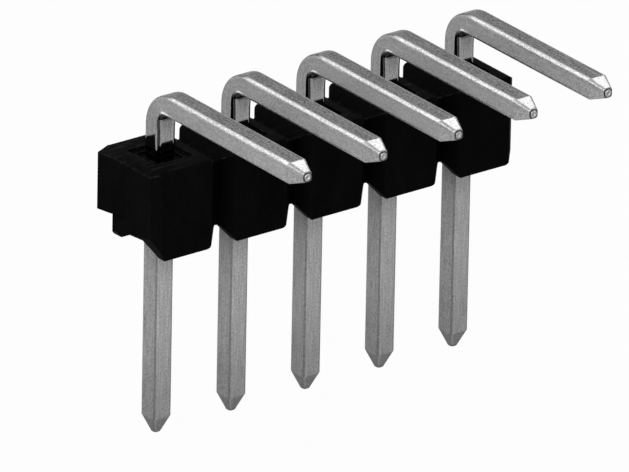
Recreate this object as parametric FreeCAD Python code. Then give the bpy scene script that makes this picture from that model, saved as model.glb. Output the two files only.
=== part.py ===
import FreeCAD, Part
import math
import os

# Right-angle pin header, single row.  Millimetres, +Z up.
# The row of pins runs along X, the bent arms point towards -Y, and the origin
# is the middle of the row on the plane that the stand-off feet sit on.

# ---- driving dimensions ----------------------------------------------------
positions = 5              # pins in the row
pitch = 2.54               # pin to pin

body_depth = 2.50          # moulded strip, front face to rear face
body_height = 2.61         # underside of the feet to the top face
top_front_round = 0.14     # rounding of the front top edge
top_rear_round = 0.05      # ... and of the rear one
body_edge_round = 0.06     # rounding of the upright block edges

front_notch_half = 0.42    # snap-off groove down the front: half its mouth
front_notch_depth = 0.42   # ... and its depth
rear_notch_half = 0.30     # snap-off groove down the rear
rear_notch_depth = 0.40
rear_notch_round = 0.18    # fuller rounding of its upright edges
top_notch_half = 0.42      # snap-off groove across the top: half its mouth
top_notch_depth = 0.24
notch_root_round = 0.05    # radius at the bottom of each groove
foot_half_length = 0.80    # block centre to the end of its foot
foot_right_round = 0.30    # fuller rounding at the foot's right end
web_underside = 0.46       # height of the web's underside over the board
web_flat_half = 0.10       # flat part of that underside, half its length
front_foot_width = 0.31    # sole of the foot under the front face
rear_foot_width = 0.50     # sole of the foot under the rear face
channel_height = 0.48      # room under the body between the two feet
channel_slope_run = 0.32   # run of the channel's sloped sides
foot_edge_round = 0.04

end_inset = 0.20           # end face, short of the groove's middle line
snap_thickness = 0.28      # torn remainder of the next web on the left end, at its rear edge
snap_rear = 1.01           # rear edge, behind the pin axis
snap_rear_run = 0.52       # length over which it widens to the rear face
snap_middle = 0.18         # thickness at the ridge in its torn face
snap_middle_place = 0.55   # that ridge, behind the pin axis
snap_front = 0.10          # front end, where it runs out on the end face
snap_underside = 0.93      # height of its lower edge
snap_top_drop = 0.01       # its top, below the top face
torn_front_run = 0.37      # slanted break on the left foot: length at the front
torn_front_rise = 0.72     # ... and height up the end face
torn_rear_run = 0.34       # the same at the rear
torn_rear_rise = 0.18
torn_corner = 0.77         # bevel that it left on the rear corner below the remainder

well_side = 1.30           # stepped square well round each pin, upper step
well_depth = 0.08
well_inner_side = 0.96     # lower step
well_inner_depth = 0.07
well_corner = 0.10

wire_side = 0.635          # square pin wire
wire_corner = 0.12         # rounding of the wire's long edges
pin_fit = 0.0              # room between wire and hole on each side
bend_inside_radius = 0.15
bend_outside_radius = 1.17 # more than inside radius plus wire: the bend thins
arm_height = 4.27          # arm axis over the board
arm_reach = 6.68           # leg axis to the arm's end
leg_drop = 5.68            # board plane to the leg's end
tip_length = 0.52          # swaged point on both ends of the wire
tip_side = 0.26            # side of the flat that ends it
tip_corner = 0.08

# ---- worked out ------------------------------------------------------------
half_depth = body_depth / 2
bend_start = bend_outside_radius - wire_side / 2   # leg axis, or arm axis, to the straight wire
pin_places = [(i - (positions - 1) / 2) * pitch for i in range(positions)]
groove_places = [x + pitch / 2 for x in pin_places[:-1]]
end_x = pin_places[-1] + pitch / 2 - end_inset


def vec(x, y, z):
    return FreeCAD.Vector(x, y, z)


def rounded_outline(corners, place):
    """Closed wire through corners (u, v, radius); place(u, v) gives the 3-D point."""
    count = len(corners)
    pieces = []
    for i in range(count):
        u, v, radius = corners[i]
        before = corners[i - 1]
        after = corners[(i + 1) % count]
        in_u, in_v = before[0] - u, before[1] - v
        out_u, out_v = after[0] - u, after[1] - v
        in_length = math.hypot(in_u, in_v)
        out_length = math.hypot(out_u, out_v)
        in_u, in_v = in_u / in_length, in_v / in_length
        out_u, out_v = out_u / out_length, out_v / out_length
        if radius <= 0:
            pieces.append(((u, v), None, (u, v)))
            continue
        half_angle = math.acos(in_u * out_u + in_v * out_v) / 2
        trim = radius / math.tan(half_angle)
        start = (u + in_u * trim, v + in_v * trim)
        finish = (u + out_u * trim, v + out_v * trim)
        middle_u, middle_v = in_u + out_u, in_v + out_v
        middle_length = math.hypot(middle_u, middle_v)
        reach = radius / math.sin(half_angle) - radius
        middle = (u + middle_u / middle_length * reach, v + middle_v / middle_length * reach)
        pieces.append((start, middle, finish))
    edges = []
    for i in range(count):
        start, middle, finish = pieces[i]
        if middle is not None:
            edges.append(Part.Arc(place(*start), place(*middle), place(*finish)).toShape())
        following = pieces[(i + 1) % count][0]
        edges.append(Part.LineSegment(place(*finish), place(*following)).toShape())
    return Part.Wire(edges)


def rounded_square(side, corner, place):
    half = side / 2
    corners = [(-half, -half, corner), (half, -half, corner), (half, half, corner), (-half, half, corner)]
    return rounded_outline(corners, place)


def groove_row(places, half, root, mouth_level, root_level, flat_half, mouth_round, right_round=None):
    """Corners of one long edge of a profile, broken by a groove at each place.

    right_round rounds the block's right end, left of each groove, when it differs.
    """
    corners = []
    for x in places:
        corners.append((x - half, mouth_level, right_round or mouth_round))
        if flat_half > 0:
            corners.append((x - flat_half, root_level, root))
            corners.append((x + flat_half, root_level, root))
        else:
            corners.append((x, root_level, root))
        corners.append((x + half, mouth_level, mouth_round))
    return corners


def end_level(mouth_level, root_level, half, flat_half):
    """Level of a groove's flank where the end face cuts it."""
    share = (half - max(end_inset, flat_half)) / (half - flat_half)
    return mouth_level + (root_level - mouth_level) * share


def grooved_side(half, depth, mouth_round):
    """One long side of the strip seen from above, from the left end to the right."""
    at_end = end_level(half_depth, half_depth - depth, half, 0)
    corners = [(-end_x, at_end, 0), (pin_places[0] - pitch / 2 + half, half_depth, mouth_round)]
    corners += groove_row(groove_places, half, notch_root_round,
                          half_depth, half_depth - depth, 0, mouth_round)
    corners += [(pin_places[-1] + pitch / 2 - half, half_depth, mouth_round), (end_x, at_end, 0)]
    return corners


def plan_prism():
    """Strip outline seen from above, run over the full height."""
    front = [(x, -y, r) for x, y, r in grooved_side(front_notch_half, front_notch_depth, body_edge_round)]
    rear = grooved_side(rear_notch_half, rear_notch_depth, rear_notch_round)
    wire = rounded_outline(front + rear[::-1], lambda x, y: vec(x, y, 0))
    return Part.Face(wire).extrude(vec(0, 0, body_height))


def elevation_prism():
    """Strip outline seen from the front, run over the full depth."""
    foot_notch_half = pitch / 2 - foot_half_length
    foot_end = end_level(0, web_underside, foot_notch_half, web_flat_half)
    top_end = end_level(body_height, body_height - top_notch_depth, top_notch_half, 0)
    last_foot = pin_places[-1] + foot_half_length
    first_top = pin_places[0] - pitch / 2 + top_notch_half
    last_top = pin_places[-1] + pitch / 2 - top_notch_half
    lower = [(-end_x, 0, 0)]
    lower += groove_row(groove_places, foot_notch_half, notch_root_round,
                        0, web_underside, web_flat_half, foot_edge_round, foot_right_round)
    lower += [(last_foot, 0, foot_right_round), (end_x, foot_end, 0)]
    upper = [(-end_x, top_end, 0), (first_top, body_height, body_edge_round)]
    upper += groove_row(groove_places, top_notch_half, notch_root_round,
                        body_height, body_height - top_notch_depth, 0, body_edge_round)
    upper += [(last_top, body_height, body_edge_round), (end_x, top_end, 0)]
    wire = rounded_outline(lower + upper[::-1], lambda x, z: vec(x, -half_depth, z))
    return Part.Face(wire).extrude(vec(0, body_depth, 0))


def section_prism():
    """Cross-section: round-edged top and the channel between the two feet."""
    front_sole = front_foot_width - half_depth
    rear_sole = half_depth - rear_foot_width
    corners = [(-half_depth, body_height, top_front_round), (-half_depth, 0, foot_edge_round),
               (front_sole, 0, foot_edge_round),
               (front_sole + channel_slope_run, channel_height, foot_edge_round),
               (rear_sole - channel_slope_run, channel_height, foot_edge_round),
               (rear_sole, 0, foot_edge_round),
               (half_depth, 0, foot_edge_round), (half_depth, body_height, top_rear_round)]
    wire = rounded_outline(corners, lambda y, z: vec(-end_x, y, z))
    return Part.Face(wire).extrude(vec(2 * end_x, 0, 0))


def snapped_end():
    """What tore off with the next block's web, left standing on the end face."""
    top = body_height - snap_top_drop
    flank_top = end_level(body_height, body_height - top_notch_depth, top_notch_half, 0)
    inside = -end_x - snap_thickness + snap_rear_run
    plan = [(-end_x - snap_thickness, snap_rear), (-end_x - snap_middle, snap_middle_place),
            (-end_x, snap_front), (inside, snap_front), (inside, half_depth)]
    outline = Part.makePolygon([vec(x, y, snap_underside) for x, y in plan + plan[:1]])
    remainder = Part.Face(outline).extrude(vec(0, 0, top - snap_underside))
    slope = (top - flank_top) / (snap_middle_place - snap_front)
    low = flank_top - slope * snap_front
    side = [(snap_middle_place, top), (0, low), (0, body_height), (snap_middle_place, body_height)]
    outline = Part.makePolygon([vec(-end_x - snap_thickness, y, z) for y, z in side + side[:1]])
    return remainder.cut(Part.Face(outline).extrude(vec(snap_thickness + half_depth, 0, 0)))


def torn_foot():
    """Cutter for the slanted break that runs under the left foot from front to rear."""
    margin = 0.1

    def section(y, run, rise):
        left, below = -end_x - margin, -margin
        corners = [(left, rise * (1 + margin / run)), (-end_x + run * (1 + margin / rise), below), (left, below)]
        return Part.makePolygon([vec(x, y, z) for x, z in corners + corners[:1]])

    return Part.makeLoft([section(-half_depth, torn_front_run, torn_front_rise),
                          section(half_depth, torn_rear_run, torn_rear_rise)], True, True)


def torn_bevel():
    """Cutter for the left end's rear corner, under the torn remainder."""
    corner_x = pin_places[0] - pitch / 2
    outline = Part.makePolygon([vec(corner_x, half_depth, 0), vec(corner_x + torn_corner, half_depth, 0),
                                vec(corner_x, half_depth - torn_corner, 0), vec(corner_x, half_depth, 0)])
    return Part.Face(outline).extrude(vec(0, 0, snap_underside))


def make_insulator():
    body = plan_prism().common(elevation_prism()).common(section_prism())
    body = body.cut(torn_bevel()).cut(torn_foot()).fuse(snapped_end())
    hole_side = wire_side + 2 * pin_fit
    for x in pin_places:
        for side, depth in ((well_side, well_depth), (well_inner_side, well_depth + well_inner_depth)):
            floor = body_height - depth
            outline = rounded_square(side, well_corner, lambda u, v: vec(x + u, v, floor))
            body = body.cut(Part.Face(outline).extrude(vec(0, 0, depth)))
        outline = rounded_square(hole_side, wire_corner, lambda u, v: vec(x + u, v, 0))
        body = body.cut(Part.Face(outline).extrude(vec(0, 0, body_height)))
    return body.removeSplitter()


def bend_piece(x):
    """Quarter bend of the wire, with a tight inside and a fuller, thinned outside."""
    half = wire_side / 2
    low = arm_height - bend_start
    outside = (half - bend_outside_radius, arm_height + half - bend_outside_radius)
    inside = (-half - bend_inside_radius, arm_height - half - bend_inside_radius)
    turn = math.sqrt(0.5)

    def point(y, z):
        return vec(x - half, y, z)

    def arc(centre, radius):
        return Part.Arc(point(centre[0] + radius, centre[1]),
                        point(centre[0] + radius * turn, centre[1] + radius * turn),
                        point(centre[0], centre[1] + radius)).toShape()

    def line(y1, z1, y2, z2):
        return Part.LineSegment(point(y1, z1), point(y2, z2)).toShape()

    wire = Part.Wire([
        line(-half, low, half, low),
        arc(outside, bend_outside_radius),
        line(-bend_start, arm_height + half, -bend_start, arm_height - half),
        line(-bend_start, arm_height - half, inside[0], arm_height - half),
        arc(inside, bend_inside_radius).reversed(),
        line(-half, inside[1], -half, low)])
    solid = Part.Face(wire).extrude(vec(wire_side, 0, 0))
    long_edges = []
    for edge in solid.Edges:
        box = edge.BoundBox
        runs_across = box.XLength > wire_side / 2
        at_an_end = box.ZMax < low + 1e-6 or box.YMax < -bend_start + 1e-6
        if not runs_across and not at_an_end:
            long_edges.append(edge)
    return solid.makeFillet(wire_corner, long_edges)


def make_pin(x):
    """Square wire: leg, quarter bend and arm, with a swaged point at each end."""
    leg_start = tip_length - leg_drop
    leg_end = arm_height - bend_start
    arm_end = tip_length - arm_reach
    section = rounded_square(wire_side, wire_corner, lambda u, v: vec(x + u, v, leg_start))
    leg = Part.Face(section).extrude(vec(0, 0, leg_end - leg_start))
    section = rounded_square(wire_side, wire_corner, lambda u, v: vec(x + u, -bend_start, arm_height + v))
    arm = Part.Face(section).extrude(vec(0, arm_end + bend_start, 0))
    leg_point = Part.makeLoft([
        rounded_square(wire_side, wire_corner, lambda u, v: vec(x + u, v, leg_start)),
        rounded_square(tip_side, tip_corner, lambda u, v: vec(x + u, v, -leg_drop))], True, True)
    arm_point = Part.makeLoft([
        rounded_square(wire_side, wire_corner, lambda u, v: vec(x + u, arm_end, arm_height + v)),
        rounded_square(tip_side, tip_corner, lambda u, v: vec(x + u, -arm_reach, arm_height + v))], True, True)
    return leg.multiFuse([bend_piece(x), arm, leg_point, arm_point]).removeSplitter()


def main():
    os.makedirs("parts", exist_ok=True)
    nodes = {"insulator": make_insulator()}
    for number, x in enumerate(pin_places, start=1):
        nodes["pin_%d" % number] = make_pin(x)
    for name, shape in nodes.items():
        solid = shape.Solids[0] if len(shape.Solids) == 1 else shape
        print("%-10s solids %d valid %s volume %.4f" % (name, len(shape.Solids), shape.isValid(), shape.Volume))
        solid.exportStep("parts/%s.step" % name)


main()
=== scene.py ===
import logging
import math
from dataclasses import dataclass, field, fields
from enum import Enum
from typing import Union

import bpy
import numpy as np
from mathutils import Matrix, Vector


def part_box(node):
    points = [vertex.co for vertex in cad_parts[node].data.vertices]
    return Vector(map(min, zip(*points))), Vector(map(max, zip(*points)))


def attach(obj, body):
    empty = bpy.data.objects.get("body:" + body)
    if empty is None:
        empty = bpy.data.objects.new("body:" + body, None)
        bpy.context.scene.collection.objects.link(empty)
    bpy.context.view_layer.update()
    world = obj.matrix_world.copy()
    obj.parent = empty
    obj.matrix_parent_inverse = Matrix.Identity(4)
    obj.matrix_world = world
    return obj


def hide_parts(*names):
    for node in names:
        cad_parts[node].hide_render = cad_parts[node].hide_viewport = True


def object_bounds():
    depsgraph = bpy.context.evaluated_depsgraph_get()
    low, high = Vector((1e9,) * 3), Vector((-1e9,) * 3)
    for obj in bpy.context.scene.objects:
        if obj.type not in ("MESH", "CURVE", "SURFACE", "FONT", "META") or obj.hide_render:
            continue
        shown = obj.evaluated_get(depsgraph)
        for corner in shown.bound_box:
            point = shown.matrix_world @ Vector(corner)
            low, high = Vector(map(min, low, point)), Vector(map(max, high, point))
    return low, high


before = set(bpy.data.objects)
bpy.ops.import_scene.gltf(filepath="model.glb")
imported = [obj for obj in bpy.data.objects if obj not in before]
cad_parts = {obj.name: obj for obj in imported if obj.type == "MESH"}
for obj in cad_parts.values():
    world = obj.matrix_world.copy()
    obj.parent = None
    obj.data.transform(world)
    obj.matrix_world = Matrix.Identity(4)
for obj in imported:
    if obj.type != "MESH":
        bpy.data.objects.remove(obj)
CAD_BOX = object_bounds()

# A right-angle pin header: bent square wire pins in a black moulded strip. The strip keeps its CAD
# mesh and gets a finish. The pins are skinned here, on the places of their CAD nodes.
# Sizes of the wire and its finish are in millimetres, and everything else is in metres.

LOG = logging.getLogger("pin_header")
MM = 0.001
ROOT_BODY = "root"

Socket = bpy.types.NodeSocket
Amount = Union[Socket, float]
Colour = tuple[float, float, float, float]


def grey(level: float) -> Colour:
    """Opaque grey of that level."""
    return (level, level, level, 1.0)


def new_object(name: str, data: bpy.types.ID) -> bpy.types.Object:
    """Makes an object at the origin and links it to the scene.

    Args:
        name: the object's name.
        data: its mesh, lamp or camera.

    Returns:
        The object.
    """
    piece = bpy.data.objects.new(name, data)
    bpy.context.scene.collection.objects.link(piece)
    return piece


# ---------------------------------------------------------------- node helpers
@dataclass(frozen=True)
class Pattern:
    """A noise pattern: repeats for each millimetre, octaves, and the strength of each finer octave."""

    per_mm: float
    octaves: float
    strength: float


class Shader:
    """The nodes of one material or of the world, with short calls to add and join them."""

    def __init__(self, owner: Union[bpy.types.Material, bpy.types.World]) -> None:
        """Empties the owner's node tree and gives it its output.

        Args:
            owner: the new material or world.
        """
        owner.use_nodes = True
        self.tree = owner.node_tree
        self.tree.nodes.clear()
        self.output = self.add("OutputWorld" if isinstance(owner, bpy.types.World) else "OutputMaterial")

    def add(self, kind: str, **values: object) -> bpy.types.Node:
        """Adds a node.

        Args:
            kind: the node's type, without its ShaderNode prefix.
            values: node properties by name; sockets are set with put().

        Returns:
            The new node.
        """
        node = self.tree.nodes.new("ShaderNode" + kind)
        for key, value in values.items():
            setattr(node, key, value)
        return node

    def put(self, node: bpy.types.Node, *ordered: object, **named: object) -> bpy.types.Node:
        """Sets input sockets, each to a plain value or to an output socket that it is linked to.

        Args:
            node: the node to set.
            ordered: what its first sockets get.
            named: what other sockets get; an underscore in a name stands for a space.

        Returns:
            The same node.
        """
        pairs = list(zip(node.inputs, ordered))
        pairs += [(node.inputs[key.replace("_", " ")], value) for key, value in named.items()]
        for socket, value in pairs:
            if isinstance(value, Socket):
                self.tree.links.new(value, socket)
            else:
                socket.default_value = value
        return node

    def math(self, operation: str, first: Amount, second: Amount = 0.0, clamp: bool = False) -> Socket:
        """Joins two values with a Math node.

        Args:
            operation: the Math node's operation.
            first: number or socket.
            second: number or socket.
            clamp: True keeps the result between 0 and 1.

        Returns:
            The result's socket.
        """
        return self.put(self.add("Math", operation=operation, use_clamp=clamp), first, second).outputs[0]

    def plus(self, first: Amount, second: Amount, clamp: bool = False) -> Socket:
        """Adds two values."""
        return self.math("ADD", first, second, clamp)

    def minus(self, first: Amount, second: Amount, clamp: bool = False) -> Socket:
        """Takes the second value from the first."""
        return self.math("SUBTRACT", first, second, clamp)

    def times(self, first: Amount, second: Amount, clamp: bool = False) -> Socket:
        """Multiplies two values."""
        return self.math("MULTIPLY", first, second, clamp)

    def over(self, first: Amount, second: Amount, clamp: bool = False) -> Socket:
        """Divides the first value by the second."""
        return self.math("DIVIDE", first, second, clamp)

    def larger(self, first: Amount, second: Amount) -> Socket:
        """Takes the larger of two values, such as where either of two masks lies."""
        return self.math("MAXIMUM", first, second)

    def apart(self, first: Amount, second: Amount) -> Socket:
        """Gives the distance between two values."""
        return self.math("ABSOLUTE", self.minus(first, second))

    def past(self, value: Amount, start: Amount, fade: Amount) -> Socket:
        """Gives 0 up to the start, and 1 once the fade lies behind."""
        return self.over(self.minus(value, start), fade, True)

    def within(self, distance: Amount, half: Amount, fade: Amount) -> Socket:
        """Gives 1 up to the half width, and 0 once the fade lies behind."""
        return self.minus(1.0, self.past(distance, half, fade), True)

    def blend(self, first: Amount, second: Amount, share: Amount) -> Socket:
        """Goes from one value to another.

        Args:
            first: number or socket where the share is 0.
            second: number or socket where the share is 1.
            share: number or mask.

        Returns:
            first + share * (second - first).
        """
        return self.plus(first, self.times(share, self.minus(second, first)))

    def dimmed(self, level: Socket, factor: Amount, mask: Socket) -> Socket:
        """Multiplies a level by a factor where the mask lies."""
        return self.times(level, self.blend(1.0, factor, mask))

    def scaled(self, source: Socket, scale: tuple[float, float, float]) -> Socket:
        """Stretches a coordinate by a factor on each axis.

        Args:
            source: the coordinate.
            scale: the three factors.

        Returns:
            The stretched coordinate.
        """
        return self.put(self.add("Mapping"), Vector=source, Scale=scale).outputs["Vector"]

    def noise(self, source: Socket, pattern: Pattern, unit: float = 1 / MM) -> Socket:
        """Adds a noise pattern.

        Args:
            source: the coordinate it is read at.
            pattern: its fineness.
            unit: millimetres in one unit of that coordinate, which is a metre for Object coordinates.

        Returns:
            The noise value, about 0.5 on average.
        """
        node = self.put(self.add("TexNoise"), Vector=source, Scale=pattern.per_mm * unit,
                        Detail=pattern.octaves, Roughness=pattern.strength)
        return node.outputs["Fac"]

    def ramp(self, source: Socket, stops: tuple[tuple[float, float], ...], shape: str = "LINEAR") -> Socket:
        """Maps a value through a grey ramp.

        Args:
            source: the value.
            stops: (position, grey level) pairs.
            shape: the ramp's interpolation.

        Returns:
            The ramp's colour socket.
        """
        node = self.put(self.add("ValToRGB"), Fac=source)
        node.color_ramp.interpolation = shape
        elements = node.color_ramp.elements
        while len(elements) < len(stops):
            elements.new(0.5)
        for element, (position, level) in zip(elements, stops):
            element.position = position
            element.color = grey(level)
        return node.outputs["Color"]

    def seen_directly(self) -> Socket:
        """Tells apart the rays that see a thing from those that it lights.

        Returns:
            1 for rays from the camera, off gloss or through glass, and 0 for the rest.
        """
        path = self.add("LightPath").outputs
        first = self.larger(path["Is Camera Ray"], path["Is Glossy Ray"])
        return self.larger(first, path["Is Transmission Ray"])


# ------------------------------------------------------------------------ wire
class WireSide(Enum):
    """The four sides of the wire, in the order in which its map goes round it."""

    OUTER = 0
    LEFT = 1
    INNER = 2
    RIGHT = 3


SideValues = tuple[tuple[WireSide, float], ...]
SIDE_VALUE_LIMIT = 2.0


def on_sides(outer: float, left: float, inner: float, right: float) -> SideValues:
    """Pairs each side of the wire with its value, which may be up to SIDE_VALUE_LIMIT."""
    return tuple(zip(WireSide, (outer, left, inner, right)))


@dataclass(frozen=True)
class Wire:
    """Square wire with rounded corners."""

    side: float = 0.635
    corner: float = 0.12

    @property
    def arc(self) -> float:
        """Length of one rounded corner."""
        return self.corner * math.pi / 2

    @property
    def step(self) -> float:
        """A quarter of the way round: one flat side and one rounded corner."""
        return self.side - 2 * self.corner + self.arc


@dataclass(frozen=True)
class Stretch:
    """A length of the wire that a finish marks, from the board end, with soft borders."""

    start: float
    end: float
    rise: float
    fall: float

    def mask(self, s: Shader, run: Socket) -> Socket:
        """Marks the stretch.

        Args:
            s: the shader that gets the nodes.
            run: distance along the wire.

        Returns:
            0 up to the start, 1 once the rise lies behind, and 0 again once the fall lies behind the end.
        """
        return s.minus(s.past(run, self.start, self.rise), s.past(run, self.end, self.fall), True)


# -------------------------------------------------------------------- finishes
@dataclass(frozen=True)
class TinPlate:
    """Matt tin plate over drawn square wire: dull stippled faces, each side with its own painted light
    and shade, and rubbed corners on the arm, painted brighter as a highlight.

    The length that was pressed through the strip is burnished and reflects sharply. The bending tool
    left a lip, painted bright as a highlight, and the middle of the inner side gets painted shade under
    the bend and inside it. The swaged points are paler, with painted shade in the groove round their
    buttons, along the crease where a point starts and on the foot. Lengths are in millimetres, with
    places along the wire taken from its board end. Tones are shares of a colour, and stipples are
    shares of the spread.
    """

    wire: Wire
    wire_length: float
    point_length: float

    # the plate as it left the bath
    colour: float = 0.36
    roughness: float = 0.32
    roughness_swing: float = 0.12
    specular: float = 0.1
    edge_tint: float = 0.5
    metal_share: float = 0.04
    # tone along the wire: darker towards the board end, a little paler at the mating end
    length_tones: tuple[tuple[float, float], ...] = (
        (0.0, 0.60), (0.18, 0.90), (0.4, 0.98), (0.75, 0.98), (0.95, 1.10))

    # the sides of the leg, and of the arm past the bend; each side's tone is painted light or shade
    arm_from: float = 9.37
    arm_fade: float = 0.6
    leg_side_shading: SideValues = on_sides(outer=1.0, left=1.05, inner=1.52, right=1.05)
    arm_side_shading: SideValues = on_sides(outer=0.53, left=1.03, inner=1.0, right=1.03)

    # stipple, drawing streaks along the wire and blotches
    spread: float = 0.85
    noise_spread: float = 0.28
    leg_stipple: float = 0.42
    arm_stipple: SideValues = on_sides(outer=1.15, left=0.35, inner=0.42, right=0.35)
    point_stipple: float = 0.45
    corner_stipple: float = 0.55
    leg_grain: float = 0.58
    arm_grain: float = 0.7
    blotch_share: float = 0.05
    grain: Pattern = Pattern(per_mm=19.0, octaves=2.0, strength=0.7)
    blotches: Pattern = Pattern(per_mm=4.0, octaves=2.0, strength=0.5)
    streaks: Pattern = Pattern(per_mm=20.0, octaves=2.0, strength=0.6)
    streak_stretch: float = 0.05
    bump: float = 0.5
    bump_height: float = 0.004
    streak_bump: float = 0.4

    # the burnished length
    burnished: Stretch = Stretch(7.07, 9.67, 0.5, 0.5)
    burnished_colour: float = 0.27
    burnished_roughness: float = 0.07
    burnished_swing: float = 0.03
    burnished_bump: float = 0.15

    # the corners of the arm, rubbed in handling and painted brighter as a highlight
    corner_from: float = 10.42
    corner_rise: float = 0.25
    corner_fall: float = 0.04
    corner_half: float = 0.055
    corner_fade: float = 0.04
    corner_sway: float = 0.08
    rubbed_corner_highlight_colour: float = 0.40
    corner_roughness: float = 0.42

    # inside the bend: the pressed lip, painted bright as a highlight, and painted shade between the corners,
    # under the bend and inside it
    pressed: Stretch = Stretch(9.93, 10.27, 0.26, 0.9)
    pressed_height: float = 0.15
    pressed_fade: float = 0.025
    pressed_foot: float = 0.02
    lip_highlight_colour: float = 0.8
    middle_half: float = 0.12
    middle_fade: float = 0.08
    shade_under_bend: Stretch = Stretch(8.87, 9.52, 0.50, 0.05)
    shade_under_bend_tone: float = 0.70
    shaded: Stretch = Stretch(9.52, 10.17, 0.08, 0.3)
    shade_tone: float = 0.35

    # the swaged points: the foot is the one on the leg; painted shade on the foot, along the crease and in the
    # groove, and painted light and shade on each side of a point
    point_fade: float = 0.03
    point_colour: float = 0.34
    point_side_shading: SideValues = on_sides(outer=1.0, left=0.90, inner=1.0, right=0.90)
    point_roughness: float = 0.3
    crease_shade_tone: float = 0.85
    groove_place: float = 0.095
    groove_half: float = 0.02
    groove_shade_tone: float = 0.3
    foot_shade_tone: float = 0.82
    foot_roughness: float = 0.6

    # thin drawing lines along the inner corners; on the burnished length the line is widened and deepened as a
    # painted dark reflection
    die_line_inset: float = 0.015
    die_line_width: float = 0.035
    die_line_depth: float = 0.6
    die_line_gain: float = 2.0
    burnished_line_and_reflection_width: float = 0.0525
    burnished_line_and_reflection_depth: float = 0.95

    @property
    def point_start(self) -> float:
        """Where the arm's point starts."""
        return self.wire_length - self.point_length

    def material(self) -> bpy.types.Material:
        """Builds the material.

        Returns:
            The material, which reads the wire's own map and Object coordinates.
        """
        made = bpy.data.materials.new("tin_plate")
        PlateShader(made, self).dress()
        return made


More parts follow.
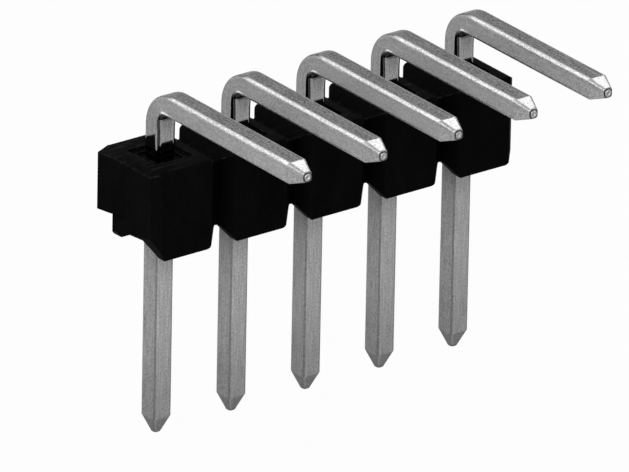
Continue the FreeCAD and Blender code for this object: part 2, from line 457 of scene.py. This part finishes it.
class PlateShader(Shader):
    """Nodes of the tin plate: a mask for each treatment of the wire, and the skin made of them.

    The wire's map gives the distance along it and the distance round it. The second is 0 in the
    middle of the first corner, and grows by one step from corner to corner.
    """

    def __init__(self, made: bpy.types.Material, plate: TinPlate) -> None:
        """Adds the coordinates, the patterns and the masks.

        Args:
            made: the new material.
            plate: the finish.
        """
        super().__init__(made)
        self.plate = plate
        along = self.add("UVMap").outputs["UV"]
        place = self.add("TexCoord").outputs["Object"]
        axes = self.put(self.add("SeparateXYZ"), Vector=along)
        self.run, self.around = axes.outputs["X"], axes.outputs["Y"]
        self.from_inner = self.apart(self.around, 2.5 * plate.wire.step)

        self.streaks = self.noise(self.scaled(along, (plate.streak_stretch, 1.0, 1.0)), plate.streaks, 1.0)
        self.grain = self.noise(place, plate.grain)
        self.blotches = self.noise(place, plate.blotches)

        self.on_arm = self.past(self.run, plate.arm_from, plate.arm_fade)
        self.burnished = plate.burnished.mask(self, self.run)
        self.corner = self.corner_mask()
        self.pressed = self.lip_mask()
        # painted shade on the middle of the inner side: under the bend and inside it
        middle = self.within(self.from_inner, plate.middle_half, plate.middle_fade)
        self.shade_under_bend = self.times(middle, plate.shade_under_bend.mask(self, self.run))
        self.shaded = self.times(middle, plate.shaded.mask(self, self.run))
        self.point = self.past(self.run, plate.point_start, plate.point_fade)
        self.foot = self.past(plate.point_length, self.run, plate.point_fade)
        self.mottle = self.mottled()

    def by_side(self, values: SideValues) -> Socket:
        """Gives each side of the wire its own value, such as its painted light and shade or its depth of
        stipple.

        Args:
            values: the sides and their values.

        Returns:
            The value on each side.
        """
        share = self.math("FRACT", self.over(self.around, len(WireSide) * self.plate.wire.step))
        stops = tuple((side.value / len(WireSide), value / SIDE_VALUE_LIMIT) for side, value in values)
        return self.times(self.ramp(share, stops, "CONSTANT"), SIDE_VALUE_LIMIT)

    def mottled(self) -> Socket:
        """Mixes streaks, grain and blotches; the arm has more grain and less streak than the leg.

        Returns:
            The pattern, about 0.5 on average.
        """
        grained = self.blend(self.plate.leg_grain, self.plate.arm_grain, self.on_arm)
        streaked = self.minus(1.0 - self.plate.blotch_share, grained)
        fine = self.plus(self.times(self.grain, grained), self.times(self.blotches, self.plate.blotch_share))
        return self.plus(self.times(self.streaks, streaked), fine)

    def corner_mask(self) -> Socket:
        """Marks the rubbed corners of the arm, which also carry a painted highlight.

        The distance to the nearest corner is |a - step * round(a / step)|, with a the distance round
        the wire, and the grain makes the border sway.

        Returns:
            1 on the corners and 0 elsewhere.
        """
        plate, step = self.plate, self.plate.wire.step
        nearest = self.times(self.math("ROUND", self.over(self.around, step)), step)
        off = self.plus(self.apart(self.around, nearest),
                        self.times(self.minus(self.grain, 0.5), plate.corner_sway))
        along = Stretch(plate.corner_from, plate.point_start, plate.corner_rise, plate.corner_fall)
        return self.times(self.within(off, plate.corner_half, plate.corner_fade), along.mask(self, self.run))

    def lip_mask(self) -> Socket:
        """Marks the wedge that the bending tool pressed, on the two inner corners past the bend, where a
        highlight is painted.

        Its height over the corner's middle grows from nothing and dies away again along the wire.

        Returns:
            1 on the wedge and 0 elsewhere.
        """
        plate = self.plate
        height = self.times(plate.pressed.mask(self, self.run), plate.pressed_height)
        off = self.minus(self.from_inner, 0.5 * plate.wire.step)
        return self.times(self.past(height, off, plate.pressed_fade),
                          self.past(off, -plate.pressed_foot, plate.pressed_foot))

    def die_lines(self) -> Socket:
        """Marks a thin drawing line along the two inner corners.

        A line is wider where the wire is burnished, and deeper there as a painted dark reflection, and the
        bending and pointing tools wiped it away.

        Returns:
            1 on the lines and 0 elsewhere.
        """
        plate, step = self.plate, self.plate.wire.step
        off = self.math("MINIMUM", self.apart(self.around, 2 * step + plate.die_line_inset),
                        self.apart(self.around, 3 * step - plate.die_line_inset))
        width = self.blend(plate.die_line_width, plate.burnished_line_and_reflection_width, self.burnished)
        near = self.times(self.minus(1.0, self.over(off, width)), plate.die_line_gain, True)
        wiped = self.larger(self.pressed, self.larger(self.point, self.foot))
        return self.minus(near, wiped, True)

    def stipple(self) -> Socket:
        """Scales the mottle for each part of the wire.

        Returns:
            What the mottle adds to each tone, as a share of it.
        """
        plate = self.plate
        depth = self.blend(plate.leg_stipple, self.by_side(plate.arm_stipple), self.on_arm)
        depth = self.blend(depth, plate.point_stipple, self.point)
        depth = self.blend(depth, plate.corner_stipple, self.corner)
        evened = self.times(self.minus(self.mottle, 0.5), 2 * plate.spread / plate.noise_spread)
        return self.times(evened, depth)

    def tone(self) -> Socket:
        """Gives the base colour: each side's tone, painted light or shade, then each treatment over them in
        turn, painted shade and highlights among them.

        Returns:
            The grey level.
        """
        plate = self.plate
        # painted light and shade: each side of the wire gets its own tone
        sides = self.blend(self.by_side(plate.leg_side_shading), self.by_side(plate.arm_side_shading), self.on_arm)
        level = self.blend(self.times(sides, plate.colour), plate.burnished_colour, self.burnished)
        # painted shade under the bend and inside it
        level = self.dimmed(level, plate.shade_under_bend_tone, self.shade_under_bend)
        level = self.dimmed(level, plate.shade_tone, self.shaded)
        # painted shade on the foot
        level = self.dimmed(level, plate.foot_shade_tone, self.foot)
        # painted light and shade on each side of the point
        level = self.blend(level, self.times(self.by_side(plate.point_side_shading), plate.point_colour), self.point)
        # rubbed corners, painted brighter as a highlight
        level = self.blend(level, plate.rubbed_corner_highlight_colour, self.corner)
        # painted highlight on the pressed lip
        level = self.blend(level, plate.lip_highlight_colour, self.pressed)
        # darker towards the board end, a little paler at the mating end
        level = self.times(level, self.ramp(self.over(self.run, plate.wire_length), plate.length_tones))
        level = self.times(level, self.plus(self.stipple(), 1.0))
        # painted shade along the crease where the point starts
        crease = self.within(self.apart(self.run, plate.point_start), 0.0, plate.point_fade)
        level = self.dimmed(level, plate.crease_shade_tone, crease)
        # painted shade in the groove round the button
        groove = self.apart(self.run, plate.wire_length - plate.groove_place)
        level = self.dimmed(level, plate.groove_shade_tone, self.within(groove, plate.groove_half, plate.groove_half))
        # drawing lines; on the burnished length also a painted dark reflection
        depth = self.blend(plate.die_line_depth, plate.burnished_line_and_reflection_depth, self.burnished)
        return self.times(level, self.minus(1.0, self.times(depth, self.die_lines())))

    def rough(self) -> Socket:
        """Gives the roughness: lowest where the wire is burnished, and uneven with the mottle.

        Returns:
            The roughness.
        """
        plate = self.plate
        swing = self.blend(plate.roughness_swing, plate.burnished_swing, self.burnished)
        rough = self.plus(self.blend(plate.roughness, plate.burnished_roughness, self.burnished),
                          self.times(self.minus(self.mottle, 0.5), swing))
        rough = self.blend(rough, plate.roughness, self.pressed)
        rough = self.blend(rough, plate.point_roughness, self.point)
        rough = self.blend(rough, plate.foot_roughness, self.foot)
        return self.blend(rough, plate.corner_roughness, self.corner)

    def metal(self) -> Socket:
        """Gives the metallic share: a little under the dull plate, and all on the burnished length, the rubbed
        corners, the points and the pressed lip.
        """
        bright = self.larger(self.larger(self.burnished, self.corner), self.larger(self.point, self.pressed))
        return self.blend(self.plate.metal_share, 1.0, bright)

    def relief(self) -> Socket:
        """Raises streaks and grain a little, where the burnishing didn't press them flat.

        Returns:
            The bumped normal.
        """
        plate = self.plate
        height = self.blend(self.grain, self.streaks, plate.streak_bump)
        height = self.dimmed(height, plate.burnished_bump, self.burnished)
        bump = self.put(self.add("Bump"), Strength=plate.bump, Distance=plate.bump_height * MM, Height=height)
        return bump.outputs["Normal"]

    def dress(self) -> None:
        """Joins the skin to the output."""
        skin = self.put(self.add("BsdfPrincipled"), Base_Color=self.tone(), Metallic=self.metal(),
                        Roughness=self.rough(), Specular_IOR_Level=self.plate.specular,
                        Specular_Tint=grey(self.plate.edge_tint), Normal=self.relief())
        self.put(self.output, Surface=skin.outputs["BSDF"])


@dataclass(frozen=True)
class MouldedPlastic:
    """Black thermoplastic with a faint moulded grain, worn paler along its upper edges, which is also a painted
    edge highlight.

    Crevices get painted shade from ambient occlusion, and level faces carry faint drag marks along the row.
    Lengths are in millimetres. Levels pair a pattern's value with what it gives, and tones are shares of the
    colour.
    """

    colour: float = 0.0038
    tone_levels: tuple[tuple[float, float], ...] = ((0.3, 0.6), (0.7, 1.5))
    roughness: float = 0.5
    roughness_swing: float = 0.2
    specular: float = 0.003
    grain: Pattern = Pattern(per_mm=14.0, octaves=4.0, strength=0.6)
    flow: Pattern = Pattern(per_mm=1.3, octaves=2.0, strength=0.5)
    flow_share: float = 0.5
    flow_stretch: float = 0.35
    bump: float = 0.3
    bump_height: float = 0.006

    # painted shade in crevices, by how much open air the surface sees
    crevice_shade_reach: float = 0.8
    crevice_shade_depth: float = 3.0
    open_from: float = 0.35
    open_fade: float = 0.3

    # worn edges, which are also a painted edge highlight, and drag marks
    wear_and_highlight_colour: float = 0.035
    wear_radius: float = 0.08
    edge_gain: float = 9.0
    upward_wear_and_highlight: float = 2.5
    side_wear: float = 0.2
    scuffs: Pattern = Pattern(per_mm=7.0, octaves=5.0, strength=0.75)
    scuff_levels: tuple[tuple[float, float], ...] = ((0.46, 0.12), (0.66, 1.0))
    drags: Pattern = Pattern(per_mm=8.0, octaves=3.0, strength=0.65)
    drag_stretch: float = 0.16
    drag_levels: tuple[tuple[float, float], ...] = ((0.54, 0.0), (0.66, 1.0))
    drag_depth: float = 0.4
    level_from: float = 0.85
    level_fade: float = 0.1

    def material(self) -> bpy.types.Material:
        """Builds the material: tone with painted shade in crevices, wear and a painted edge highlight over it,
        and grain as a fine bump.

        Returns:
            The material, which reads Object coordinates.
        """
        made = bpy.data.materials.new("moulded_black")
        s = Shader(made)
        place = s.add("TexCoord").outputs["Object"]
        grain = s.noise(place, self.grain)
        flow = s.noise(s.scaled(place, (1.0, 1.0, self.flow_stretch)), self.flow)
        tone = s.ramp(s.blend(grain, flow, self.flow_share),
                      tuple((value, self.colour * share) for value, share in self.tone_levels))
        # painted shade: ambient occlusion darkens the tone in crevices
        crevices = s.add("AmbientOcclusion", samples=12, only_local=True)
        openness = s.put(crevices, Distance=self.crevice_shade_reach * MM).outputs["AO"]
        tone = s.times(tone, s.math("POWER", openness, self.crevice_shade_depth))
        skin_tone = s.put(s.add("MixRGB", blend_type="MIX"), Fac=self.wear(s, place, openness),
                          Color1=tone, Color2=grey(self.wear_and_highlight_colour))
        rough = s.plus(s.times(flow, self.roughness_swing), self.roughness - self.roughness_swing / 2)
        bump = s.put(s.add("Bump"), Strength=self.bump, Distance=self.bump_height * MM, Height=grain)
        skin = s.put(s.add("BsdfPrincipled"), Base_Color=skin_tone.outputs["Color"], Roughness=rough,
                     Specular_IOR_Level=self.specular, Normal=bump.outputs["Normal"])
        s.put(s.output, Surface=skin.outputs["BSDF"])
        return made

    def wear(self, s: Shader, place: Socket, openness: Socket) -> Socket:
        """Marks scuffed edges, which are also a painted edge highlight, and drag marks.

        An edge lies where the normal, rounded over the wear radius, turns away from the face's own. It
        is palest where it faces up. Drag marks lie on what faces up, and neither goes into crevices.

        Args:
            s: the shader that gets the nodes.
            place: Object coordinates.
            openness: how much open air the surface sees, up to 1.

        Returns:
            1 where the plastic is painted pale, for wear and edge highlight, and 0 where it is black.
        """
        rounded = s.put(s.add("Bevel", samples=6), Radius=self.wear_radius * MM).outputs["Normal"]
        own = s.add("NewGeometry").outputs["Normal"]
        turn = s.put(s.add("VectorMath", operation="DOT_PRODUCT"), rounded, own).outputs["Value"]
        upward = s.put(s.add("SeparateXYZ"), Vector=rounded).outputs["Z"]
        edge = s.times(s.times(s.minus(1.0, turn), self.edge_gain, True),
                       s.plus(s.times(upward, self.upward_wear_and_highlight), self.side_wear, True))
        scuffs = s.ramp(s.noise(place, self.scuffs), self.scuff_levels)
        drags = s.ramp(s.noise(s.scaled(place, (self.drag_stretch, 1.0, 1.0)), self.drags), self.drag_levels)
        drags = s.times(drags, s.past(upward, self.level_from, self.level_fade))
        worn = s.larger(s.times(edge, scuffs), s.times(drags, self.drag_depth))
        return s.times(worn, s.past(openness, self.open_from, self.open_fade), True)


@dataclass(frozen=True)
class PaleFloor:
    """White studio floor that keeps a light shadow."""

    colour: float = 0.62
    backdrop_share: float = 0.97

    def material(self) -> bpy.types.Material:
        """Builds the material: matt white, mixed with plain white for what the camera and metal see.

        Returns:
            The material.
        """
        made = bpy.data.materials.new("studio_floor")
        s = Shader(made)
        matt = s.put(s.add("BsdfDiffuse"), Color=grey(self.colour)).outputs["BSDF"]
        plain = s.put(s.add("Emission"), Color=grey(1.0), Strength=1.0).outputs["Emission"]
        mix = s.put(s.add("MixShader"), s.times(s.seen_directly(), self.backdrop_share), matt, plain)
        s.put(s.output, Surface=mix.outputs["Shader"])
        return made


# ------------------------------------------------------------------ mesh helper
def grid_mesh(name: str, points: np.ndarray, uv: np.ndarray) -> bpy.types.Object:
    """Skins a grid of points that closes round its second axis, and caps both ends.

    Vertex (i, j) sits at points[i, j]. Faces join (i, j), (i+1, j), (i+1, j+1) and (i, j+1), with j
    wrapped round, and each end ring is closed by one face.

    Args:
        name: the object's name.
        points: stations by ring points by 3, in metres.
        uv: stations by ring points + 1 by 2; the extra column closes the seam.

    Returns:
        The linked object, smooth shaded.
    """
    stations, ring = points.shape[:2]
    i, j = np.meshgrid(np.arange(stations - 1), np.arange(ring), indexing="ij")
    after = (j + 1) % ring
    quads = np.stack([i * ring + j, (i + 1) * ring + j, (i + 1) * ring + after, i * ring + after], -1)
    quad_uv = np.stack([uv[i, j], uv[i + 1, j], uv[i + 1, j + 1], uv[i, j + 1]], -2)
    caps = [np.arange(ring).tolist(), ((stations - 1) * ring + np.arange(ring)[::-1]).tolist()]
    cap_uv = np.concatenate([uv[0, :ring], uv[-1, :ring][::-1]])
    mesh = bpy.data.meshes.new(name)
    mesh.from_pydata(points.reshape(-1, 3), [], quads.reshape(-1, 4).tolist() + caps)
    layer = mesh.uv_layers.new(name="UVMap")
    loops = np.concatenate([quad_uv.reshape(-1, 2), cap_uv]).astype(np.float32)
    layer.data.foreach_set("uv", loops.ravel())
    mesh.polygons.foreach_set("use_smooth", np.ones(len(mesh.polygons), bool))
    mesh.validate()
    return new_object(name, mesh)


# ------------------------------------------------------------------------ pins
@dataclass
class Stations:
    """Sections of a pin, one row for each place along it, in millimetres.

    Each is a rounded rectangle about its centre, a (y, z) point. Its depth runs in the bend plane
    along a (y, z) unit direction, towards the outside of the bend, and its width along X.
    """

    centre: np.ndarray
    direction: np.ndarray
    half_wide: np.ndarray
    half_deep: np.ndarray
    outer_corner: np.ndarray
    inner_corner: np.ndarray

    @classmethod
    def along(cls, centre: np.ndarray, direction: np.ndarray, *sizes: Union[np.ndarray, float]) -> "Stations":
        """Makes stations out of sizes that may be the same at each of them.

        Args:
            centre: (y, z) rows.
            direction: one (y, z) direction, or a row for each station.
            sizes: half width, half depth, and the outer and the inner corner's radius, each one
                number or one for each station.

        Returns:
            The stations.
        """
        count = len(centre)
        rows = (np.broadcast_to(size, count) for size in sizes)
        return cls(centre, np.broadcast_to(direction, (count, 2)), *rows)

    @classmethod
    def joined(cls, parts: list["Stations"]) -> "Stations":
        """Puts runs of stations end to end."""
        return cls(*(np.concatenate([getattr(part, item.name) for part in parts]) for item in fields(cls)))

    def run(self) -> np.ndarray:
        """Distance of each station along the line of centres, from the first one."""
        return np.insert(np.cumsum(np.linalg.norm(np.diff(self.centre, axis=0), axis=-1)), 0, 0)


@dataclass(frozen=True)
class SwagedPoint:
    """Point on an end of the wire: a dimpled round button in a groove, and four flanks.

    Lengths are in millimetres. The button's rings and the groove are given as distance back from
    the end, and half width as a share of the flat's.
    """

    side: float
    length: float = 0.52
    corner: float = 0.08
    button: tuple[tuple[float, float], ...] = (
        (0.028, 0.08), (0.028, 0.26), (0.008, 0.36), (0.0, 0.48),
        (0.0, 0.66), (0.008, 0.76), (0.024, 0.81), (0.060, 0.80))
    groove: tuple[float, float] = (0.064, 0.86)
    button_roundness: float = 0.93
    rim_back: float = 0.030
    flank_steps: int = 15
    flank_ease: float = 0.9

    def profile(self, wire: Wire, guard: float) -> tuple[np.ndarray, np.ndarray, np.ndarray]:
        """Gives the point's outline, from the end back to the full wire.

        The flanks go from the rim's half width to the wire's in a straight line, with the same share
        of the way for the corner's radius. The button's corner radius is close to its half width.

        Args:
            wire: the wire's section.
            guard: distance of a last ring before the full wire, which keeps the wire's shading flat.

        Returns:
            Distance back from the end, half width and corner radius at each station.
        """
        full, flat = wire.side / 2, self.side / 2
        rings = np.array([*self.button, self.groove])
        share = np.linspace(0, 1, self.flank_steps) ** self.flank_ease
        share = np.insert(share, self.flank_steps - 1, 1 - guard / self.length)
        rim = flat + (full - flat) * self.rim_back / self.length
        back = np.concatenate([rings[:, 0], self.rim_back + (self.length - self.rim_back) * share])
        half = np.concatenate([rings[:, 1] * flat, rim + (full - rim) * share])
        corner = np.concatenate([rings[:, 1] * flat * self.button_roundness,
                                 self.corner + (wire.corner - self.corner) * share])
        return back, half, corner


@dataclass
class Pin:
    """One bent square wire pin, in millimetres; its place comes from the CAD node.

    The bend swells a little sideways, and the tool squeezed its inner corners into a lip. The lip
    starts at a share of the bend, and its reach says how soon it dies away towards the arm.
    """

    node: str
    wire: Wire = Wire()
    inside_radius: float = 0.28
    outside_radius: float = 1.17
    bulge: float = 0.02
    lip: float = 0.035
    lip_width: float = 0.065
    lip_start: float = 0.62
    lip_reach: float = 0.25
    foot: SwagedPoint = SwagedPoint(0.20)
    point: SwagedPoint = SwagedPoint(0.26)
    guard: float = 0.015
    corner_steps: int = 6
    bend_steps: int = 28
    leg_steps: int = 28
    arm_steps: int = 38
    low: Vector = field(init=False)
    high: Vector = field(init=False)

    def __post_init__(self) -> None:
        """Reads the node's box."""
        self.low, self.high = (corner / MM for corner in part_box(self.node))

    @property
    def arm_axis(self) -> float:
        """Height of the arm's axis."""
        return self.high.z - self.wire.side / 2

    def bend_edges(self, angle: np.ndarray) -> tuple[np.ndarray, np.ndarray]:
        """Outer and inner line of the bend, on rays from the outer arc's centre.

        The outer point is centre + outside radius along the ray. The inner one is where the ray meets
        the inner corner: its two straight sides, at (outside radius - wire) / max(cos, sin), or the
        small arc that rounds it, at k (cos + sin) + sqrt(r^2 - k^2 (1 - sin 2a)), with k the offset
        between the two arc centres.

        Args:
            angle: rays, from 0 along the leg's outer side to a right angle on the arm's.

        Returns:
            Outer and inner points as (y, z) rows.
        """
        half = self.wire.side / 2
        centre = np.array([half - self.outside_radius, self.arm_axis + half - self.outside_radius])
        ray = np.stack([np.cos(angle), np.sin(angle)], -1)
        straight = (self.outside_radius - self.wire.side) / ray.max(-1)
        k = self.outside_radius - self.wire.side - self.inside_radius
        root = np.sqrt(np.maximum(self.inside_radius ** 2 - k ** 2 * (1 - np.sin(2 * angle)), 0))
        on_arc = straight * ray.min(-1) > k
        reach = np.where(on_arc, k * ray.sum(-1) + root, straight)
        return centre + self.outside_radius * ray, centre + reach[:, None] * ray

    def bend(self) -> Stations:
        """Places the section round the bend, halfway between its two edges.

        Returns:
            Stations whose width is the wire's + bulge * sin(2 * angle) on each side.
        """
        angle = np.linspace(0, math.pi / 2, self.bend_steps + 1)
        outer, inner = self.bend_edges(angle)
        deep = np.linalg.norm(outer - inner, axis=-1) / 2
        wide = self.wire.side / 2 + self.bulge * np.sin(2 * angle)
        direction = (outer - inner) / (2 * deep[:, None])
        return Stations.along((outer + inner) / 2, direction, wide, deep, self.wire.corner, self.wire.corner)

    def stations(self) -> Stations:
        """Places the section along the whole wire, from the board end to the mating end.

        Returns:
            Foot, leg, bend, arm and point, end to end.
        """
        half, corner = self.wire.side / 2, self.wire.corner
        to_y, to_z = np.array([1.0, 0.0]), np.array([0.0, 1.0])
        bend = self.bend()
        leg_start, arm_stop = self.low.z + self.foot.length, self.low.y + self.point.length
        leg = np.linspace(leg_start, bend.centre[0, 1], self.leg_steps + 2)[1:-1]
        arm = np.linspace(bend.centre[-1, 0], arm_stop, self.arm_steps + 2)[1:-1]
        leg = np.append(leg_start + self.guard, leg)
        arm = np.append(arm, arm_stop + self.guard)
        on_axis = self.arm_axis * to_z
        foot_back, foot_half, foot_corner = self.foot.profile(self.wire, self.guard)
        back, point_half, point_corner = (row[::-1] for row in self.point.profile(self.wire, self.guard))
        return Stations.joined([
            Stations.along(np.outer(self.low.z + foot_back, to_z), to_y,
                           foot_half, foot_half, foot_corner, foot_corner),
            Stations.along(np.outer(leg, to_z), to_y, half, half, corner, corner),
            bend,
            Stations.along(np.outer(arm, to_y) + on_axis, to_z, half, half, corner, corner),
            Stations.along(np.outer(self.low.y + back, to_y) + on_axis, to_z,
                           point_half, point_half, point_corner, point_corner)])

    def squeezed_out(self, stations: Stations) -> np.ndarray:
        """How far the lip stands out at each station.

        It starts sharply at its share of the bend, within a guard's length, and then dies away as
        lip * exp(-distance / reach).

        Args:
            stations: the pin's stations.

        Returns:
            One length for each station.
        """
        run = stations.run()
        in_bend = len(self.foot.profile(self.wire, self.guard)[0]) + self.leg_steps + 1
        past = run - run[in_bend + round(self.lip_start * self.bend_steps)]
        return self.lip * np.clip(past / self.guard, 0, 1) * np.exp(-np.clip(past, 0, None) / self.lip_reach)

    def corner_points(self) -> tuple[np.ndarray, np.ndarray]:
        """Places a corner's points: its arc, and two more past each end of it.

        Those stand a guard and a lip's width away along the arc's tangent, so that the flat sides
        are shaded flat.

        Returns:
            Share of the arc, from 0 to 1, and distance past it, negative before its start.
        """
        share = np.pad(np.linspace(0, 1, self.corner_steps + 1), 2, "edge")
        past = np.zeros_like(share)
        past[:2], past[-2:] = (-self.lip_width, -self.guard), (self.guard, self.lip_width)
        return share, past

    def section(self, stations: Stations) -> tuple[np.ndarray, np.ndarray]:
        """Rounded rectangles, one for each station.

        Each corner is a quarter circle about a centre that lies one corner radius in from both sides:
        across = side * (half - corner) + corner * cos(angle), and the same with sin for depth. The
        points past the arc follow its tangent, as far as there is room. The lip pushes the two inner
        corners out by lip * |cos(angle)|.

        Args:
            stations: the pin's stations.

        Returns:
            Offsets across and deep, stations by ring points.
        """
        share, past = self.corner_points()
        angle = ((share[None, :] + np.arange(4)[:, None]) * math.pi / 2).ravel()
        past = np.tile(past, 4)
        side_across = np.repeat([1, -1, -1, 1], len(share))
        side_deep = np.repeat([1, 1, -1, -1], len(share))
        wide, deep = stations.half_wide[:, None], stations.half_deep[:, None]
        outer, inner = stations.outer_corner[:, None], stations.inner_corner[:, None]
        corner = np.where(side_deep > 0, outer, inner)
        room = (np.minimum(wide, deep) - np.maximum(outer, inner)) / (2 * self.lip_width)
        shift = past * np.minimum(room, 1)
        across = side_across * (wide - corner) + corner * np.cos(angle) - shift * np.sin(angle)
        inward = side_deep * (deep - corner) + corner * np.sin(angle) + shift * np.cos(angle)
        squeezed = np.where((side_deep < 0) & (np.abs(past) < self.lip_width), np.abs(np.cos(angle)), 0)
        return across + side_across * squeezed * self.squeezed_out(stations)[:, None], inward

    def around(self) -> np.ndarray:
        """Distance of each ring point round the wire, from the middle of the first corner.

        Returns:
            One length for each ring point and for the first one again, a whole turn on, all
            backwards as build() takes the ring.
        """
        share, past = self.corner_points()
        turn = (share - 0.5) * self.wire.arc + past
        around = (np.arange(4)[:, None] * self.wire.step + turn[None, :]).ravel()[::-1]
        return np.append(around, around[0] - 4 * self.wire.step)

    def build(self) -> bpy.types.Object:
        """Skins the stations: point = centre + across * X + deep * depth direction.

        The ring is taken backwards, which turns the faces outwards.

        Returns:
            The pin's object.
        """
        stations = self.stations()
        across, inward = self.section(stations)
        middle = (self.low.x + self.high.x) / 2
        y = stations.centre[:, None, 0] + inward * stations.direction[:, None, 0]
        z = stations.centre[:, None, 1] + inward * stations.direction[:, None, 1]
        points = np.stack([middle + across, y, z], -1)
        uv = np.stack(np.meshgrid(stations.run(), self.around(), indexing="ij"), -1)
        return grid_mesh("wire_" + self.node, points[:, ::-1] * MM, uv)

    def plate(self) -> TinPlate:
        """Fits the plate to this pin's wire.

        Returns:
            The finish, with the lengths of the wire and of its point included.
        """
        run = self.stations().run()
        flank_end = len(self.point.profile(self.wire, self.guard)[0]) - 1
        return TinPlate(self.wire, float(run[-1]), float(run[flank_end]))

    def dress(self, piece: bpy.types.Object, finish: bpy.types.Material) -> None:
        """Gives the pin its finish and puts it in place of its CAD node.

        Args:
            piece: the pin's object.
            finish: its material.
        """
        piece.data.materials.append(finish)
        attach(piece, ROOT_BODY)
        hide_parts(self.node)


# ------------------------------------------------------------------- insulator
@dataclass
class Insulator:
    """The moulded strip, which keeps its CAD shape and gets its finish."""

    node: str = "insulator"

    def dress(self, finish: bpy.types.Material) -> bpy.types.Object:
        """Puts the finish on the CAD node.

        Args:
            finish: its material.

        Returns:
            The node's object.
        """
        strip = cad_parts[self.node]
        for slot in strip.material_slots:
            slot.material = finish
        return strip


# ---------------------------------------------------------------------- studio
def direction(azimuth: float, elevation: float) -> Vector:
    """Unit vector from the part towards a place round it.

    Args:
        azimuth: degrees; 0 is in front (-Y) and -90 to the left (-X).
        elevation: degrees above the horizon.

    Returns:
        (sin a cos e, -cos a cos e, sin e).
    """
    a, e = math.radians(azimuth), math.radians(elevation)
    return Vector((math.sin(a) * math.cos(e), -math.cos(a) * math.cos(e), math.sin(e)))


@dataclass
class SoftLight:
    """One square area lamp, aimed at the part.

    Angles are in degrees and lengths in metres. The lamp's power is brightness * pi * its area.
    """

    name: str
    azimuth: float
    elevation: float
    side: float
    brightness: float
    distance: float = 0.30

    def build(self, target: Vector) -> bpy.types.Object:
        """Places the lamp on a sphere round its target, facing it.

        Args:
            target: the point it faces.

        Returns:
            The lamp.
        """
        data = bpy.data.lights.new(self.name, "AREA")
        data.shape = "SQUARE"
        data.size = self.side
        data.energy = self.brightness * math.pi * self.side ** 2
        lamp = new_object(self.name, data)
        back = direction(self.azimuth, self.elevation)
        lamp.location = target + back * self.distance
        lamp.rotation_mode = "QUATERNION"
        lamp.rotation_quaternion = (-back).to_track_quat("-Z", "Y")
        return lamp


@dataclass
class Studio:
    """Floor, world and lamps."""

    floor_side: float = 3.0
    world_strength: float = 0.15
    lamps: tuple[SoftLight, ...] = (
        SoftLight("key_left_back", azimuth=-155.0, elevation=33.0, side=0.26, brightness=1.6),
        SoftLight("left_front", azimuth=-62.0, elevation=27.0, side=0.20, brightness=3.1),
        SoftLight("top_right", azimuth=119.0, elevation=51.0, side=0.15, brightness=2.1),
        SoftLight("front", azimuth=-14.0, elevation=30.0, side=0.26, brightness=1.1))

    def build_floor(self, height: float) -> bpy.types.Object:
        """Lays a square floor under the leg tips.

        Args:
            height: where the tips stand, in metres.

        Returns:
            The floor.
        """
        half = self.floor_side / 2
        corners = [(-half, -half, height), (half, -half, height), (half, half, height), (-half, half, height)]
        mesh = bpy.data.meshes.new("floor")
        mesh.from_pydata(corners, [], [(0, 1, 2, 3)])
        mesh.materials.append(PaleFloor().material())
        floor = new_object("floor", mesh)
        return floor

    def build_world(self) -> None:
        """Makes plain white surroundings: a level light, and full white where they are seen."""
        world = bpy.data.worlds.new("studio")
        bpy.context.scene.world = world
        s = Shader(world)
        strength = s.blend(self.world_strength, 1.0, s.seen_directly())
        light = s.put(s.add("Background"), Color=grey(1.0), Strength=strength)
        s.put(s.output, Surface=light.outputs["Background"])

    def build(self, target: Vector, floor_height: float) -> None:
        """Builds the whole studio.

        Args:
            target: the point the lamps face.
            floor_height: height of the floor, in metres.
        """
        self.build_floor(floor_height)
        self.build_world()
        for lamp in self.lamps:
            lamp.build(target)
        bpy.context.scene.view_settings.view_transform = "Standard"


@dataclass
class Viewpoint:
    """The camera: a long lens from the left, above and in front.

    It aims at a point that lies to the right of the frame's origin and below it, as the camera sees
    them, and the view width is measured there. Angles are in degrees, lengths in metres.
    """

    azimuth: float = -37.13
    elevation: float = 23.68
    roll: float = 1.12
    distance: float = 0.45
    view_width: float = 17.201 * MM
    aim_right: float = 0.183 * MM
    aim_up: float = -1.018 * MM
    sensor: float = 36.0

    def build(self) -> bpy.types.Object:
        """Makes the camera and sets it as the scene's.

        The view is turned by the roll: right' = right cos r + up sin r, up' = up cos r - right sin r.

        Returns:
            The camera.
        """
        back = direction(self.azimuth, self.elevation)
        right = direction(self.azimuth + 90.0, 0.0)
        up = back.cross(right)
        aim = right * self.aim_right + up * self.aim_up
        r = math.radians(self.roll)
        turned_right = right * math.cos(r) + up * math.sin(r)
        turned_up = up * math.cos(r) - right * math.sin(r)
        data = bpy.data.cameras.new("camera")
        data.sensor_width = self.sensor
        data.lens = self.sensor * self.distance / self.view_width
        data.clip_start, data.clip_end = self.distance * 0.1, self.distance * 10
        camera = new_object("camera", data)
        basis = Matrix((turned_right, turned_up, back)).transposed().to_4x4()
        camera.matrix_world = Matrix.Translation(aim + back * self.distance) @ basis
        bpy.context.scene.camera = camera
        return camera


# ------------------------------------------------------------------------ main
def main() -> None:
    """Builds the camera, the studio and every piece, and reports them."""
    logging.basicConfig(level=logging.INFO, format="%(message)s")
    low, high = CAD_BOX
    Viewpoint().build()
    Studio().build((low + high) / 2, low.z)
    strip = Insulator().dress(MouldedPlastic().material())
    LOG.info("insulator: %s", strip.name)
    pins = [Pin(name) for name in sorted(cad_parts) if name.startswith("pin_")]
    plate = pins[0].plate().material()
    for pin in pins:
        piece = pin.build()
        pin.dress(piece, plate)
        LOG.info("pin: %s, %d faces", piece.name, len(piece.data.polygons))


if __name__ == "__main__":
    main()
